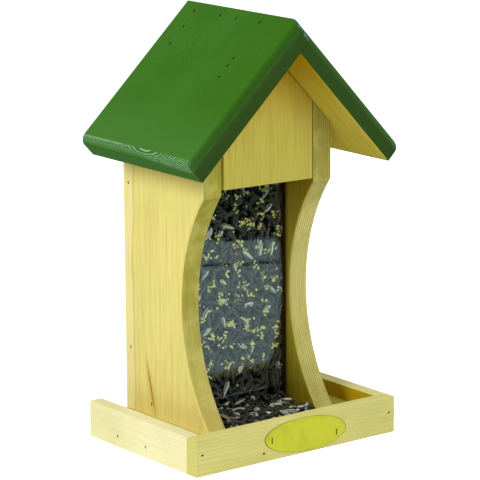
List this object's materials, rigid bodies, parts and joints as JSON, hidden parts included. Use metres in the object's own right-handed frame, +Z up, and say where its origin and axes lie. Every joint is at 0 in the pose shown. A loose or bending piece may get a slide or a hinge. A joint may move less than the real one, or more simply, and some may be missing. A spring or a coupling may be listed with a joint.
{
  "type": "wall bird feeder",
  "caption": "Wooden wall bird feeder with a gabled lift-off roof, a seed hopper with curved cheeks and a clear sliding pane, and an open-backed feeding tray.",
  "frame": {"origin": "middle of the overall box, on the underside of the tray", "axes": "+Z up, +Y towards the wall, +X to the right seen from the front"},
  "size_m": [0.2038, 0.145, 0.3452],
  "materials": {
    "pine": "planed, pale green-yellow preservative",
    "green_painted_pine": "satin green paint",
    "clear_acrylic": "clear, polished",
    "plate_metal": "yellow-green lacquer, bare of words",
    "steel": "zinc plated",
    "seed": "loose dry seed"
  },
  "bodies": {
    "feeder": {"tray_floor": "pine", "front_rail": "pine", "left_rail": "pine", "right_rail": "pine", "left_side": "pine", "right_side": "pine", "back_board": "pine", "seed_ramp": "pine", "name_plate": "plate_metal", "plate_staples": "steel", "back_board_nails": "steel", "ramp_nails": "steel", "tray_corner_nails": "steel", "tray_floor_nails": "steel", "floor_screws": "steel", "hanger_plate": "steel", "hanger_screws": "steel", "seed_fill": "seed", "tray_seed": "seed"},
    "roof": {"roof_left_board": "green_painted_pine", "roof_right_board": "green_painted_pine", "front_gable": "pine", "rear_cleat": "pine", "ridge_nails": "steel", "front_gable_nails": "steel", "rear_cleat_nails": "steel"},
    "pane": {"window_pane": "clear_acrylic"}
  },
  "joints": [
    {"name": "roof_lift", "type": "slide", "parent": "feeder", "child": "roof", "axis": [0, 0, 1], "range_m": [0, 0.075]},
    {"name": "pane_slide", "type": "slide", "parent": "feeder", "child": "pane", "axis": [0, 0, 1], "range_m": [0, 0.043]}
  ]
}
